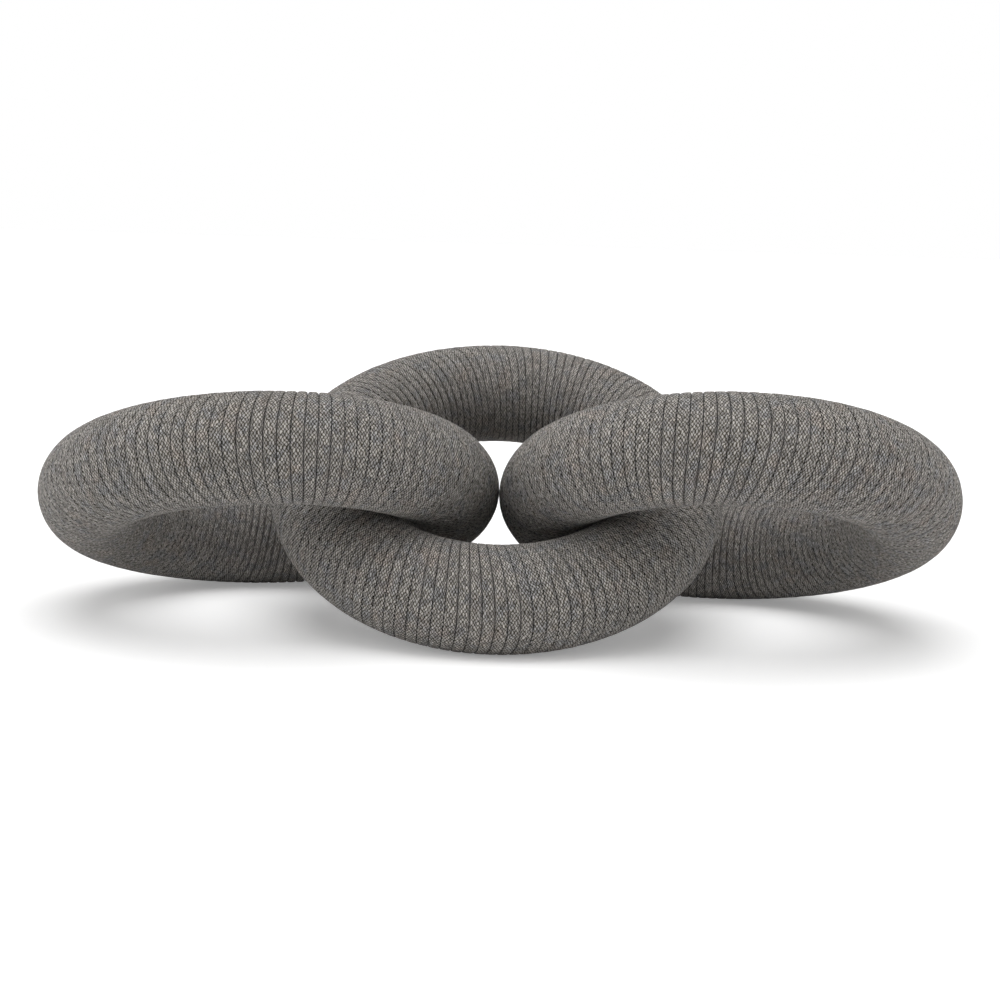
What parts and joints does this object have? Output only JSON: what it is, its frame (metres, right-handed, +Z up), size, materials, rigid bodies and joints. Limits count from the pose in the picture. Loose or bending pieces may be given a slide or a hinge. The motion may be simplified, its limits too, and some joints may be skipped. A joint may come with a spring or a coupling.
{
  "type": "rope link sculpture",
  "caption": "Table ornament of thick rings linked like a chain, each a wooden core wound closely with grey braided cord; the links lean on each other and can be tilted by hand.",
  "frame": {"origin": "on the table, below the middle of the sculpture's box", "axes": "+X along the row of rings from the left ring to the right ring, +Y from the front to the back, +Z up"},
  "size_m": [0.4984, 0.247, 0.1441],
  "materials": {
    "cord": "matt braided cord in mixed warm and cool greys",
    "core": "plain unfinished wood, hidden under the cord",
    "dowel": "plain hardwood dowel, hidden in the core",
    "tack": "bright steel, sunk in the cord"
  },
  "bodies": {
    "middle_ring": {"middle_ring_winding": "cord", "middle_ring_front_core": "core", "middle_ring_back_core": "core", "middle_ring_left_dowel": "dowel", "middle_ring_right_dowel": "dowel", "middle_ring_start_tack": "tack", "middle_ring_end_tack": "tack"},
    "left_ring": {"left_ring_winding": "cord", "left_ring_front_core": "core", "left_ring_back_core": "core", "left_ring_left_dowel": "dowel", "left_ring_right_dowel": "dowel", "left_ring_start_tack": "tack", "left_ring_end_tack": "tack"},
    "right_ring": {"right_ring_winding": "cord", "right_ring_front_core": "core", "right_ring_back_core": "core", "right_ring_left_dowel": "dowel", "right_ring_right_dowel": "dowel", "right_ring_start_tack": "tack", "right_ring_end_tack": "tack"}
  },
  "joints": [
    {"name": "left_ring_tilt", "type": "hinge", "parent": "middle_ring", "child": "left_ring", "pos_m": [-0.12483, -0.00423, 0.06676], "axis": [-0.9979, -0.0257, -0.0592], "range_deg": [0, 65]},
    {"name": "right_ring_tilt", "type": "hinge", "parent": "middle_ring", "child": "right_ring", "pos_m": [0.12537, -0.00853, 0.07035], "axis": [-0.9998, 0.0092, 0.0188], "range_deg": [0, 55]}
  ]
}
